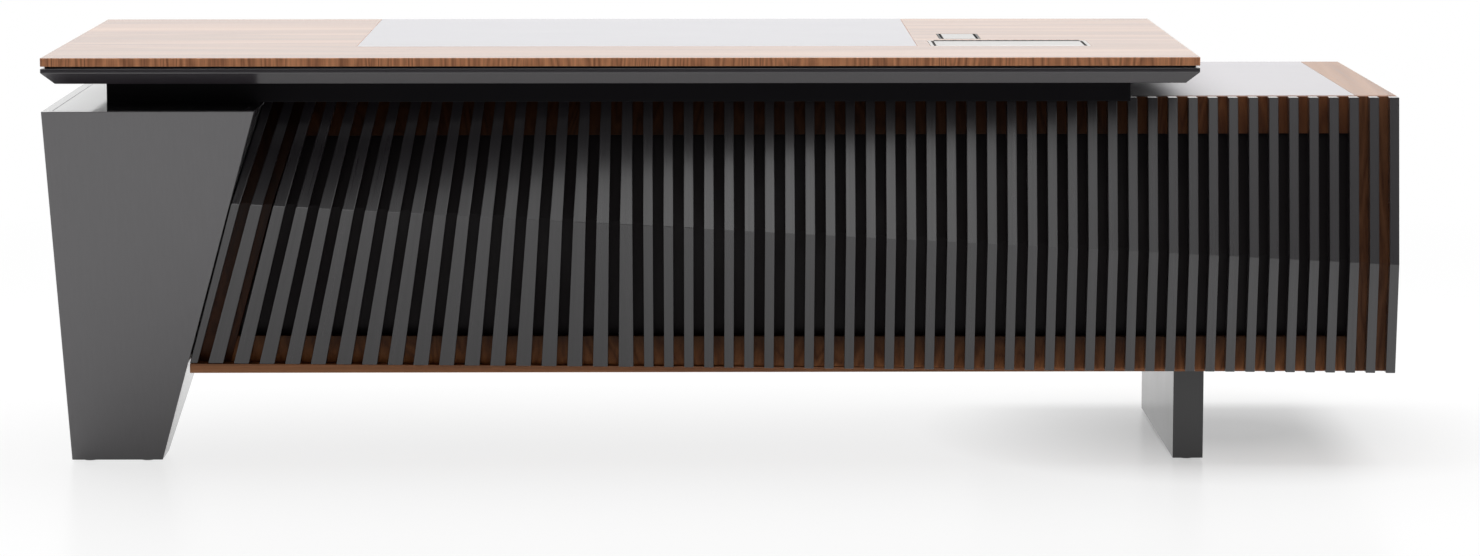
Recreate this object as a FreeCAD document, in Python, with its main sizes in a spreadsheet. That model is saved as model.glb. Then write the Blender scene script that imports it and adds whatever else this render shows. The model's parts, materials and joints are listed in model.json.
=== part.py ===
"""Executive desk with a folded slatted front, a tapered leg and a storage return.

Lengths are in millimetres. X runs along the desk, Y from the visitor's side to the user's
side and Z up. The origin is on the floor under the middle of the whole desk.
"""
import FreeCAD, Part
import os
import re

Vector = FreeCAD.Vector

SIZES = {
    # overall
    "desk_length": 2404,
    "desk_height": 760,
    # worktop, from the walnut slab down to the bevelled board
    "worktop_length": 2028,
    "worktop_depth": 900,
    "slab_thickness": 15,
    "reveal_height": 4,
    "reveal_inset": 7,
    "subtop_edge": 7.5,
    "bevel_height": 20.5,
    "bevel_inset": 22,
    "pad_length": 1011,
    "pad_depth": 652,
    "pad_offset": 534,
    "pad_thickness": 3,
    "inlay_gap": 0.5,
    # riser frame between the worktop and what carries it
    "riser_setback": 94,
    "riser_depth": 600,
    "riser_offset": 103,
    "riser_length": 1813,
    "riser_height": 39,
    "spacer_height": 8,
    "tube_width": 40,
    "tube_wall": 2.5,
    # cable box with its flap
    "box_length": 290,
    "box_width": 122,
    "box_offset": 1569,
    "box_setback": 245,
    "box_height": 54,
    "sheet_wall": 1.5,
    "rim_wall": 6,
    "rim_ledge": 4,
    "insert_fit": 0.3,
    "flap_thickness": 6,
    "flap_end_gap": 5,
    "flap_free_gap": 3,
    "flap_hinge_gap": 0.6,
    "lid_pin_radius": 1.5,
    "lid_pin_reach": 8,
    "pin_fit": 0.05,
    "pin_end_gap": 0.3,
    "strip_length": 210,
    "strip_width": 46,
    "strip_height": 28,
    "socket_radius": 19,
    "socket_depth": 14,
    "socket_pitch": 52,
    "cable_slot": 30,
    # charging well with its lid
    "well_length": 76,
    "well_width": 120,
    "well_offset": 1594,
    "well_setback": 406,
    "well_height": 40,
    "well_wall": 4,
    "lid_thickness": 5,
    "lid_end_gap": 4,
    "module_length": 52,
    "module_width": 70,
    "module_height": 16,
    "port_length": 14,
    "port_width": 6,
    "port_depth": 10,
    "port_pitch": 22,
    # tapered leg
    "leg_top_width": 372,
    "leg_foot_width": 165,
    "leg_lean": 7,
    "leg_top_depth": 760,
    "leg_foot_depth": 90,
    "leg_front_lean": 254,
    "leg_wall": 18,
    "glide_height": 4,
    "glide_radius": 12,
    "glide_inset": 30,
    # blade leg
    "blade_thickness": 55,
    "blade_setback": 254,
    "blade_rear_setback": 101,
    "blade_height": 170,
    "bolt_radius": 5,
    "bolt_head_radius": 8,
    "bolt_offset": 18,
    "bolt_head_height": 5,
    "bolt_reach": 50,
    "bolt_fit": 0.3,
    # folded slatted screen
    "top_setback": 160,
    "crease_drop_west": 160.5,
    "crease_drop_east": 298,
    "crease_setback_west": 59,
    "crease_setback_east": 124,
    "base_setback_west": 196.5,
    "base_setback_east": 148,
    "slat_rise_west": 19,
    "slat_rise_east": 2.5,
    "slat_depth": 24,
    "slat_fit": 0.6,
    "slat_width": 17.2,
    "slat_pitch": 36.1,
    "straight_count": 38,
    "fan_count": 18,
    "fan_start_top": 36.9,
    "fan_start_base": 41.2,
    "fan_end_top": 6.7,
    "fan_end_base": -0.2,
    "fan_width_top": 18.3,
    "fan_width_base": 27.1,
    "top_rail_height": 66,
    "base_rail_height": 67,
    "stile_width": 72,
    "screen_board": 18,
    "panel_board": 9,
    "panel_inset": 10,
    "panel_fit": 1,
    "rail_spans": 12,
    "leg_gap": 2.5,
    "board_fit": 0.3,
    # hollow wall behind the screen
    "lip_setback": 190,
    "base_setback": 252,
    "wall_depth": 330,
    # storage return
    "cabinet_width": 721,
    "cabinet_depth": 915,
    "carcass_board": 18,
    "back_board": 9,
    "inlay_thickness": 2,
    "inlay_border": 73,
    "front_board": 18,
    "front_gap": 2,
    "shelf_rise": 225,
    "shelf_setback": 40,
    "shelf_fit": 1,
    "peg_radius": 3,
    "peg_seat": 8,
    "peg_length": 20,
    "peg_inset": 60,
    "peg_fit": 0.05,
    "door_pin_radius": 4,
    "door_pin_reach": 12,
    # drawers
    "top_front_share": 130,
    "middle_front_share": 130,
    "low_front_share": 196,
    "drawer_room": 136,
    "drawer_wall": 12,
    "drawer_floor": 6,
    "drawer_lift": 18,
    "drawer_drop": 24,
    "runner_space": 13,
    "channel_depth": 11,
    "channel_wall": 2,
    "bar_thickness": 5,
    "bar_height": 16,
    "bar_rise": 26,
    "bar_end": 20,
    "running_gap": 0.5,
    "grip_length": 150,
    "grip_height": 14,
    "grip_depth": 11,
}

LAYOUT = {
    "west": "-desk_length / 2",
    "east": "desk_length / 2",
    "front": "-cabinet_depth / 2",
    "rear": "front + worktop_depth",
    "worktop_east": "west + worktop_length",
    "slab_low": "desk_height - slab_thickness",
    "reveal_low": "slab_low - reveal_height",
    "bevel_high": "reveal_low - subtop_edge",
    "subtop_low": "bevel_high - bevel_height",
    "cabinet_height": "subtop_low - riser_height",
    "leg_height": "cabinet_height - spacer_height",
    "riser_west": "west + riser_offset",
    "riser_east": "riser_west + riser_length",
    "riser_front": "front + riser_setback",
    "riser_rear": "riser_front + riser_depth",
    "cross_length": "riser_depth - 2 * tube_width",
    "cross_step": "(riser_length - tube_width) / 3",
    "box_west": "west + box_offset",
    "box_front": "front + box_setback",
    "flap_axis_y": "box_front + insert_fit + rim_wall + flap_hinge_gap + flap_thickness / 2",
    "flap_axis_z": "desk_height - flap_thickness / 2",
    "flap_west": "box_west + insert_fit + rim_wall + flap_end_gap",
    "flap_length": "box_length - 2 * (insert_fit + rim_wall + flap_end_gap)",
    "flap_rear": "box_front + box_width - insert_fit - rim_wall - flap_free_gap",
    "box_low": "slab_low - box_height",
    "well_west": "west + well_offset",
    "well_front": "front + well_setback",
    "well_low": "desk_height - well_height",
    "lid_axis_y": "well_front + insert_fit + well_wall + flap_hinge_gap + lid_thickness / 2",
    "lid_axis_z": "desk_height - lid_thickness / 2",
    "lid_west": "well_west + insert_fit + well_wall + lid_end_gap",
    "lid_length": "well_length - 2 * (insert_fit + well_wall + lid_end_gap)",
    "lid_rear": "well_front + well_width - insert_fit - well_wall - flap_hinge_gap",
    "leg_rise": "leg_height - glide_height",
    "outer_slope": "leg_lean / leg_rise",
    "inner_slope": "(leg_top_width - leg_lean - leg_foot_width) / leg_rise",
    "front_slope": "leg_front_lean / leg_rise",
    "back_slope": "(leg_top_depth - leg_front_lean - leg_foot_depth) / leg_rise",
    "leg_deck_low": "leg_height - leg_wall",
    "leg_base_high": "glide_height + leg_wall",
    "base_low": "glide_height + blade_height",
    "slat_base_east": "base_low + slat_rise_east",
    "slat_base_west": "base_low + slat_rise_west",
    "lip_high_east": "slat_base_east - slat_fit",
    "lip_high_west": "slat_base_west - slat_fit",
    "carcass_low": "base_low + carcass_board",
    "carcass_high": "cabinet_height - carcass_board",
    "base_front": "front + base_setback",
    "wall_rear": "front + wall_depth",
    "deck_front": "front + top_setback + slat_depth + screen_board + board_fit",
    "blade_front": "front + blade_setback",
    "cab_west": "east - cabinet_width",
    "cab_rear": "front + cabinet_depth",
    "blade_rear": "cab_rear - blade_rear_setback",
    "blade_depth": "blade_rear - blade_front",
    "blade_west": "cab_west + (cabinet_width - blade_thickness) / 2",
    "bay_west": "cab_west + carcass_board",
    "bay_width": "(cabinet_width - 3 * carcass_board) / 2",
    "divider_west": "bay_west + bay_width",
    "cupboard_west": "divider_west + carcass_board",
    "cupboard_east": "cupboard_west + bay_width",
    "back_rear": "base_front + back_board",
    "fronts_front": "cab_rear - front_board",
    "door_axis_x": "cupboard_east - front_gap - front_board / 2",
    "door_axis_y": "cab_rear - front_board / 2",
    "door_low": "carcass_low + front_gap",
    "door_high": "carcass_high - front_gap",
    "shelf_low": "carcass_low + shelf_rise",
    "shelf_front": "back_rear + shelf_fit",
    "shelf_rear": "fronts_front - shelf_setback",
    "fronts_rise": "carcass_high - carcass_low - 4 * front_gap",
    "front_share": "fronts_rise / (top_front_share + middle_front_share + low_front_share)",
    "top_front_height": "front_share * top_front_share",
    "middle_front_height": "front_share * middle_front_share",
    "drawer_length": "fronts_front - back_rear - drawer_room",
    "top_front_low": "carcass_high - front_gap - top_front_height",
    "middle_front_low": "top_front_low - front_gap - middle_front_height",
    "low_front_low": "carcass_low + front_gap",
    "low_front_height": "middle_front_low - front_gap - low_front_low",
    "drawer_front": "fronts_front - drawer_length",
    "drawer_west": "bay_west + runner_space",
    "drawer_width": "bay_width - 2 * runner_space",
    "slot_height": "bar_height + 2 * running_gap",
    "channel_height": "slot_height + 2 * channel_wall",
    "crease_west": "cabinet_height - crease_drop_west",
    "crease_slope": "(crease_drop_west - crease_drop_east) / desk_length",
    "crease_front_slope": "(crease_setback_east - crease_setback_west) / desk_length",
    "base_slope": "(slat_base_east - slat_base_west) / desk_length",
    "base_front_slope": "(base_setback_east - base_setback_west) / desk_length",
}

doc = FreeCAD.newDocument("executive_desk")
sizes = doc.addObject("Spreadsheet::Sheet", "Sizes")
layout = doc.addObject("Spreadsheet::Sheet", "Layout")


def with_sheets(formula):
    """Put the sheet's name before every alias in a formula."""
    def add(found):
        word = found.group(0)
        return ("Sizes." if word in SIZES else "Layout.") + word
    return re.sub(r"[a-z][a-z_]*", add, formula)


for row, (alias, number) in enumerate(SIZES.items(), start=1):
    sizes.set("A%d" % row, alias)
    sizes.set("B%d" % row, str(number))
    sizes.setAlias("B%d" % row, alias)
doc.recompute()
for row, (alias, formula) in enumerate(LAYOUT.items(), start=1):
    layout.set("A%d" % row, alias)
    layout.setAlias("B%d" % row, alias)
for row, (alias, formula) in enumerate(LAYOUT.items(), start=1):
    layout.set("B%d" % row, "=" + with_sheets(formula).replace("Layout.", ""))
doc.recompute()


def value(alias):
    """The number behind an alias of either sheet."""
    sheet = sizes if alias in SIZES else layout
    return float(getattr(sheet, alias))


def bind(item, formulas):
    for path, formula in formulas.items():
        item.setExpression(path, with_sheets(formula))
    return item


def place(item, x, y, z):
    return bind(item, {"Placement.Base.x": x, "Placement.Base.y": y, "Placement.Base.z": z})


def board(name, x, y, z, length, width, height):
    """A rectangular piece by its low corner and its three sizes."""
    item = doc.addObject("Part::Box", name)
    bind(item, {"Length": length, "Width": width, "Height": height})
    return place(item, x, y, z)


def taper(name, low, high, low_box, high_box):
    """A piece between two level rectangles (x from, x to, y from, y to)."""
    item = doc.addObject("Part::Wedge", name)
    item.Placement = FreeCAD.Placement(Vector(), FreeCAD.Rotation(Vector(1, 0, 0), 90))
    return bind(item, {
        "Ymin": low, "Ymax": high,
        "Xmin": low_box[0], "Xmax": low_box[1],
        "Zmin": "-(%s)" % low_box[3], "Zmax": "-(%s)" % low_box[2],
        "X2min": high_box[0], "X2max": high_box[1],
        "Z2min": "-(%s)" % high_box[3], "Z2max": "-(%s)" % high_box[2],
    })


TURNS = {
    "x": FreeCAD.Rotation(Vector(0, 1, 0), 90),
    "y": FreeCAD.Rotation(Vector(1, 0, 0), -90),
    "z": FreeCAD.Rotation(),
}


def rod(name, axis, x, y, z, radius, length):
    """A round piece that starts at a point and runs along an axis."""
    item = doc.addObject("Part::Cylinder", name)
    item.Placement = FreeCAD.Placement(Vector(), TURNS[axis])
    bind(item, {"Radius": radius, "Height": length})
    return place(item, x, y, z)


def fused(name, items):
    item = doc.addObject("Part::MultiFuse", name)
    item.Shapes = items
    item.Refine = True
    return item


def cut(name, base, tools):
    item = doc.addObject("Part::Cut", name)
    item.Base = base
    item.Tool = tools[0] if len(tools) == 1 else fused(name + "_tools", tools)
    item.Refine = True
    return item


def grouped(name, items):
    item = doc.addObject("Part::Compound", name)
    item.Links = items
    return item


def shaped(name, shape):
    item = doc.addObject("Part::Feature", name)
    item.Shape = shape
    return item


# worktop: walnut slab, dark reveal, bevelled board, leather pad
def box_opening(name, low, height, ledge):
    return board(name, "box_west + " + ledge, "box_front + " + ledge, low,
                 "box_length - 2 * " + ledge, "box_width - 2 * " + ledge, height)


def well_opening(name, low, height):
    return board(name, "well_west", "well_front", low, "well_length", "well_width", height)


slab_blank = board("slab_blank", "west", "front", "slab_low",
                   "worktop_length", "worktop_depth", "slab_thickness")
pad_recess = board("pad_recess", "west + pad_offset", "rear - pad_depth", "desk_height - pad_thickness",
                   "pad_length", "pad_depth + inlay_gap", "pad_thickness")
cut("worktop_slab", slab_blank, [
    pad_recess,
    board("slab_box_opening", "box_west", "box_front", "slab_low",
          "box_length", "box_width", "slab_thickness"),
    well_opening("slab_well_opening", "slab_low", "slab_thickness"),
])
board("writing_pad", "west + pad_offset + inlay_gap", "rear - pad_depth + inlay_gap",
      "desk_height - pad_thickness", "pad_length - 2 * inlay_gap", "pad_depth - inlay_gap",
      "pad_thickness")
reveal_blank = board("reveal_blank", "west + reveal_inset", "front + reveal_inset", "reveal_low",
                     "worktop_length - 2 * reveal_inset", "worktop_depth - 2 * reveal_inset",
                     "reveal_height")
cut("reveal_board", reveal_blank, [
    box_opening("reveal_box_opening", "reveal_low", "reveal_height", "rim_ledge"),
    well_opening("reveal_well_opening", "reveal_low", "reveal_height"),
])
subtop_edge_board = board("subtop_edge_board", "west", "front", "bevel_high",
                          "worktop_length", "worktop_depth", "subtop_edge")
subtop_bevel = taper("subtop_bevel", "subtop_low", "bevel_high",
                     ("west + bevel_inset", "worktop_east - bevel_inset",
                      "front + bevel_inset", "rear - bevel_inset"),
                     ("west", "worktop_east", "front", "rear"))
cut("bevelled_subtop", fused("subtop_blank", [subtop_edge_board, subtop_bevel]), [
    box_opening("subtop_box_opening", "subtop_low", "reveal_low - subtop_low", "rim_ledge"),
    well_opening("subtop_well_opening", "well_low", "reveal_low - well_low"),
])


# riser frame of black tube
def tube(name, x, y, length, width, along):
    outside = board(name + "_outside", x, y, "cabinet_height", length, width, "riser_height")
    if along == "x":
        inside = board(name + "_inside", x, y + " + tube_wall", "cabinet_height + tube_wall",
                       length, width + " - 2 * tube_wall", "riser_height - 2 * tube_wall")
    else:
        inside = board(name + "_inside", x + " + tube_wall", y, "cabinet_height + tube_wall",
                       length + " - 2 * tube_wall", width, "riser_height - 2 * tube_wall")
    return cut(name, outside, [inside])


tube("riser_front_tube", "riser_west", "riser_front", "riser_length", "tube_width", "x")
tube("riser_rear_tube", "riser_west", "riser_rear - tube_width", "riser_length", "tube_width", "x")
cross_tubes = []
for number in range(4):
    cross_tubes.append(tube("cross_tube_%s" % "abcd"[number], "riser_west + %d * cross_step" % number,
                            "riser_front + tube_width", "tube_width", "cross_length", "y"))
grouped("riser_cross_tubes", cross_tubes)
board("leg_spacer", "riser_west", "riser_front", "leg_height",
      "west + leg_top_width - riser_west", "riser_depth", "spacer_height")


# cable box: rim, tray, socket strip, flap
rim_outside = board("rim_outside", "box_west + insert_fit", "box_front + insert_fit", "slab_low",
                    "box_length - 2 * insert_fit", "box_width - 2 * insert_fit", "slab_thickness")
rim_inside = board("rim_inside", "box_west + insert_fit + rim_wall", "box_front + insert_fit + rim_wall",
                   "slab_low", "box_length - 2 * (insert_fit + rim_wall)",
                   "box_width - 2 * (insert_fit + rim_wall)", "slab_thickness")
rim_bore = rod("rim_bore", "x", "box_west", "flap_axis_y", "flap_axis_z",
               "lid_pin_radius + pin_fit", "box_length")
cut("cable_rim", rim_outside, [rim_inside, rim_bore])
tray_outside = board("tray_outside", "box_west + rim_ledge + insert_fit",
                     "box_front + rim_ledge + insert_fit", "box_low",
                     "box_length - 2 * (rim_ledge + insert_fit)",
                     "box_width - 2 * (rim_ledge + insert_fit)", "box_height")
tray_inside = board("tray_inside", "box_west + rim_ledge + insert_fit + sheet_wall",
                    "box_front + rim_ledge + insert_fit + sheet_wall", "box_low + sheet_wall",
                    "box_length - 2 * (rim_ledge + insert_fit + sheet_wall)",
                    "box_width - 2 * (rim_ledge + insert_fit + sheet_wall)", "box_height")
tray_slot = board("tray_slot", "box_west + rim_ledge + insert_fit + sheet_wall",
                  "box_front + box_width - rim_ledge - insert_fit - sheet_wall - cable_slot", "box_low",
                  "cable_slot", "cable_slot", "sheet_wall")
cut("cable_tray", tray_outside, [tray_inside, tray_slot])
strip_block = board("strip_block", "box_west + (box_length - strip_length) / 2",
                    "box_front + rim_ledge + insert_fit + sheet_wall + insert_fit", "box_low + sheet_wall",
                    "strip_length", "strip_width", "strip_height")
strip_sockets = []
for number in range(3):
    strip_sockets.append(rod("strip_socket_%s" % "abc"[number], "z",
                             "box_west + box_length / 2 + (%d) * socket_pitch" % (number - 1),
                             "box_front + rim_ledge + 2 * insert_fit + sheet_wall + strip_width / 2",
                             "box_low + sheet_wall + strip_height - socket_depth",
                             "socket_radius", "socket_depth"))
cut("socket_strip", strip_block, strip_sockets)


def lid(name, low, axis_y, axis_z, lid_west, length, lid_rear, thickness):
    """A lid that turns on its rounded front edge, bored at both ends for its pins."""
    plate = board(name + "_plate", lid_west, axis_y, low, length, lid_rear + " - " + axis_y, thickness)
    edge = rod(name + "_edge", "x", lid_west, axis_y, axis_z, thickness + " / 2", length)
    bore_west = rod(name + "_bore_west", "x", lid_west, axis_y, axis_z,
                    "lid_pin_radius + pin_fit", "lid_pin_reach + pin_end_gap")
    bore_east = rod(name + "_bore_east", "x",
                    "%s + %s - lid_pin_reach - pin_end_gap" % (lid_west, length), axis_y, axis_z,
                    "lid_pin_radius + pin_fit", "lid_pin_reach + pin_end_gap")
    return cut(name, fused(name + "_blank", [plate, edge]), [bore_west, bore_east])


lid("cable_flap", "desk_height - flap_thickness", "flap_axis_y", "flap_axis_z",
    "flap_west", "flap_length", "flap_rear", "flap_thickness")
grouped("cable_flap_pins", [
    rod("flap_pin_west", "x", "box_west + insert_fit", "flap_axis_y", "flap_axis_z",
        "lid_pin_radius", "rim_wall + flap_end_gap + lid_pin_reach"),
    rod("flap_pin_east", "x", "flap_west + flap_length - lid_pin_reach", "flap_axis_y", "flap_axis_z",
        "lid_pin_radius", "rim_wall + flap_end_gap + lid_pin_reach"),
])

# charging well: housing, port module, lid
well_outside = board("well_outside", "well_west + insert_fit", "well_front + insert_fit", "well_low",
                     "well_length - 2 * insert_fit", "well_width - 2 * insert_fit", "well_height")
well_inside = board("well_inside", "well_west + insert_fit + well_wall",
                    "well_front + insert_fit + well_wall", "well_low + well_wall",
                    "well_length - 2 * (insert_fit + well_wall)",
                    "well_width - 2 * (insert_fit + well_wall)", "well_height")
well_bore = rod("well_bore", "x", "well_west", "lid_axis_y", "lid_axis_z",
                "lid_pin_radius + pin_fit", "well_length")
cut("charging_well", well_outside, [well_inside, well_bore])
module_block = board("module_block", "well_west + (well_length - module_length) / 2",
                     "well_front + (well_width - module_width) / 2", "well_low + well_wall",
                     "module_length", "module_width", "module_height")
module_ports = []
for number in range(2):
    module_ports.append(board("module_port_%s" % "ab"[number],
                              "well_west + (well_length - port_length) / 2",
                              "well_front + (well_width - port_width + (%d) * port_pitch) / 2"
                              % (2 * number - 1),
                              "well_low + well_wall + module_height - port_depth",
                              "port_length", "port_width", "port_depth"))
cut("charging_module", module_block, module_ports)
lid("charging_lid", "desk_height - lid_thickness", "lid_axis_y", "lid_axis_z",
    "lid_west", "lid_length", "lid_rear", "lid_thickness")
grouped("charging_lid_pins", [
    rod("lid_pin_west", "x", "well_west + insert_fit", "lid_axis_y", "lid_axis_z",
        "lid_pin_radius", "well_wall + lid_end_gap + lid_pin_reach"),
    rod("lid_pin_east", "x", "lid_west + lid_length - lid_pin_reach", "lid_axis_y", "lid_axis_z",
        "lid_pin_radius", "well_wall + lid_end_gap + lid_pin_reach"),
])


# tapered leg, a hollow box of six boards
def outer_at(height):
    return "west + outer_slope * (leg_height - (%s))" % height


def inner_at(height):
    return "west + leg_top_width - inner_slope * (leg_height - (%s))" % height


def front_at(height):
    return "front + front_slope * (leg_height - (%s))" % height


def back_at(height):
    return "front + leg_top_depth - back_slope * (leg_height - (%s))" % height


def leg_board(name, low, high, limits):
    return taper(name, low, high, limits(low), limits(high))


def leg_inside(z):
    return (outer_at(z) + " + leg_wall", inner_at(z) + " - leg_wall",
            front_at(z) + " + leg_wall", back_at(z) + " - leg_wall")


leg_board("leg_top_board", "leg_deck_low", "leg_height", leg_inside)
leg_board("leg_foot_board", "glide_height", "leg_base_high", leg_inside)
leg_board("leg_front_board", "glide_height", "leg_height",
          lambda z: (outer_at(z), inner_at(z), front_at(z), front_at(z) + " + leg_wall"))
leg_board("leg_back_board", "glide_height", "leg_height",
          lambda z: (outer_at(z), inner_at(z), back_at(z) + " - leg_wall", back_at(z)))
leg_board("leg_outer_board", "glide_height", "leg_height",
          lambda z: (outer_at(z), outer_at(z) + " + leg_wall",
                     front_at(z) + " + leg_wall", back_at(z) + " - leg_wall"))
leg_board("leg_inner_board", "glide_height", "leg_height",
          lambda z: (inner_at(z) + " - leg_wall", inner_at(z),
                     front_at(z) + " + leg_wall", back_at(z) + " - leg_wall"))
foot_west = "west + leg_lean + glide_inset"
foot_east = "west + leg_lean + leg_foot_width - glide_inset"
foot_front = "front + leg_front_lean + glide_inset"
foot_back = "front + leg_front_lean + leg_foot_depth - glide_inset"
leg_glides = []
for number, (x, y) in enumerate([(foot_west, foot_front), (foot_east, foot_front),
                                 (foot_west, foot_back), (foot_east, foot_back)]):
    leg_glides.append(rod("leg_glide_%s" % "abcd"[number], "z", x, y, "0", "glide_radius", "glide_height"))
grouped("leg_glides", leg_glides)

# blade leg under the return, bolted from inside it
blade_middle = "blade_west + blade_thickness / 2"
bolt_front = "wall_rear + glide_inset + bolt_head_radius"
bolt_rear = "blade_rear - glide_inset"
bolt_places = [
    (blade_middle + " - bolt_offset", bolt_front),
    (blade_middle + " + bolt_offset", bolt_front),
    (blade_middle + " - bolt_offset", bolt_rear),
    (blade_middle + " + bolt_offset", bolt_rear),
]
bolt_parts = []
blade_bores = []
floor_bores = []
for number, (x, y) in enumerate(bolt_places):
    letter = "abcd"[number]
    shank = rod("bolt_shank_" + letter, "z", x, y, "carcass_low - bolt_reach",
                "bolt_radius", "bolt_reach")
    head = rod("bolt_head_" + letter, "z", x, y, "carcass_low",
               "bolt_head_radius", "bolt_head_height")
    bolt_parts.append(fused("bolt_" + letter, [shank, head]))
    blade_bores.append(rod("blade_bore_" + letter, "z", x, y,
                           "carcass_low - bolt_reach - bolt_fit", "bolt_radius + bolt_fit",
                           "bolt_reach + bolt_fit"))
    floor_bores.append(rod("floor_bore_" + letter, "z", x, y, "base_low",
                           "bolt_radius + bolt_fit", "carcass_board"))
grouped("blade_bolts", bolt_parts)
blade_blank = board("blade_blank", "blade_west", "blade_front", "glide_height",
                    "blade_thickness", "blade_depth", "blade_height")
cut("blade_leg", blade_blank, blade_bores)
blade_glides = []
for number, y in enumerate(["blade_front + glide_inset", "(blade_front + blade_rear) / 2",
                             "blade_rear - glide_inset"]):
    blade_glides.append(rod("blade_glide_%s" % "abc"[number], "z", blade_middle, y, "0",
                            "glide_radius", "glide_height"))
grouped("blade_glides", blade_glides)
doc.recompute()


# folded screen: two ruled faces that meet along a sloping crease
def crease_at(x):
    return value("crease_west") + value("crease_slope") * (x - value("west"))


def base_at(x):
    return value("slat_base_west") + value("base_slope") * (x - value("west"))


def screen_face(x, z):
    """Y of the slats' front face, between straight top, crease and base lines."""
    along = x - value("west")
    crease = crease_at(x)
    crease_front = value("crease_setback_west") + value("crease_front_slope") * along
    if z > crease:
        share = (z - crease) / (value("cabinet_height") - crease)
        other = value("top_setback")
    else:
        share = (crease - z) / (crease - base_at(x))
        other = value("base_setback_west") + value("base_front_slope") * along
    return value("front") + crease_front + (other - crease_front) * share


def leg_line(z):
    """X of the leg's inner face."""
    return (value("west") + value("leg_top_width")
            - value("inner_slope") * (value("leg_height") - z))


def screen_left(z):
    return leg_line(z) + value("leg_gap")


def height_on(edge, line):
    """The height where a straight edge x(z) meets a sloping line z(x)."""
    lean = edge(1) - edge(0)
    slope = line(1) - line(0)
    return (line(0) + slope * edge(0)) / (1 - slope * lean)


def folded(left, right, high, low, set_back, thickness, spans):
    """A piece of the screen between two edges x(z), cut off at two heights z(x)."""
    sections = []
    for step in range(spans + 1):
        share = step / spans

        def edge(z):
            return left(z) + (right(z) - left(z)) * share

        heights = [height_on(edge, high), height_on(edge, low)]
        crease = height_on(edge, crease_at)
        if heights[1] < crease < heights[0]:
            heights.insert(1, crease)
        fronts = [Vector(edge(z), screen_face(edge(z), z) + set_back, z) for z in heights]
        backs = [point + Vector(0, thickness, 0) for point in reversed(fronts)]
        sections.append(Part.makePolygon(fronts + backs + fronts[:1]))
    return Part.makeLoft(sections, True, True)


def stile_inside(z):
    return screen_left(z) + value("stile_width")


def right_inside(z):
    return value("east") - value("stile_width")


def right_edge(z):
    return value("east")


def panel_left(z):
    return screen_left(z) + value("panel_inset")


def panel_right(z):
    return value("east") - value("panel_inset")


def screen_high(x):
    return value("cabinet_height")


def top_rail_low(x):
    return value("cabinet_height") - value("top_rail_height")


def base_rail_high(x):
    return value("base_low") + value("base_rail_height")


def panel_high(x):
    return value("carcass_high") - value("board_fit")


rail_back = value("slat_depth")
rail_board = value("screen_board")
rail_spans = int(value("rail_spans"))
shaped("screen_top_rail", folded(stile_inside, right_inside, screen_high, top_rail_low,
                                 rail_back, rail_board, rail_spans))
shaped("screen_base_rail", folded(stile_inside, right_inside, base_rail_high, base_at,
                                  rail_back, rail_board, rail_spans))
shaped("screen_left_stile", folded(screen_left, stile_inside, screen_high, base_at,
                                   rail_back, rail_board, 1))
shaped("screen_right_stile", folded(right_inside, right_edge, screen_high, base_at,
                                    rail_back, rail_board, 1))
panel_back = rail_back + rail_board + value("panel_fit")
shaped("screen_panel", folded(panel_left, panel_right, panel_high, base_at,
                              panel_back, value("panel_board"), rail_spans))


def slat(top_middle, top_width, base_middle, base_width):
    """One slat from its middle and width at the top and at the base."""
    def edge_on(side):
        top_x = top_middle + side * top_width / 2
        base_x = base_middle + side * base_width / 2
        drop = value("cabinet_height") - base_at(base_x)

        def edge(z):
            return top_x + (base_x - top_x) * (value("cabinet_height") - z) / drop
        return edge

    left = edge_on(-1)
    if left(base_at(base_middle)) < screen_left(base_at(base_middle)):
        left = screen_left
    return folded(left, edge_on(1), screen_high, base_at, 0, value("slat_depth") - value("slat_fit"), 1)


straight_slats = []
last_middle = value("east") - value("slat_width") / 2
for number in range(int(value("straight_count"))):
    middle = last_middle - number * value("slat_pitch")
    straight_slats.append(slat(middle, value("slat_width"), middle, value("slat_width")))
shaped("straight_slats", Part.makeCompound(straight_slats))

fan_slats = []
fan_count = int(value("fan_count"))
fan_top = middle - value("fan_start_top")
fan_base = middle - value("fan_start_base")
fan_run_top = fan_top - screen_left(value("cabinet_height")) - value("fan_end_top")
fan_run_base = fan_base - screen_left(value("slat_base_west")) - value("fan_end_base")
for number in range(fan_count):
    share = number / (fan_count - 1)
    fan_slats.append(slat(fan_top - share * fan_run_top, value("fan_width_top"),
                          fan_base - share * fan_run_base, value("fan_width_base")))
shaped("fan_slats", Part.makeCompound(fan_slats))

# walnut base board with a front lip that thins towards the return
lip_west = "west + leg_top_width - inner_slope * (leg_height - carcass_low) + leg_gap"
lip = doc.addObject("Part::Wedge", "base_lip")
lip.Placement = FreeCAD.Placement(Vector(), FreeCAD.Rotation(Vector(0, 0, 1), -90))
bind(lip, {
    "Ymin": lip_west, "Ymax": "east",
    "Xmin": "-base_front", "Xmax": "-(front + lip_setback)",
    "X2min": "-base_front", "X2max": "-(front + lip_setback)",
    "Zmin": "base_low", "Zmax": "lip_high_west + base_slope * (%s - west)" % lip_west,
    "Z2min": "base_low", "Z2max": "lip_high_east",
})
base_body = board("base_body", lip_west, "base_front", "base_low",
                  "east - (%s)" % lip_west, "wall_depth - base_setback", "carcass_board")
fused("base_board", [lip, base_body])

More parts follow.
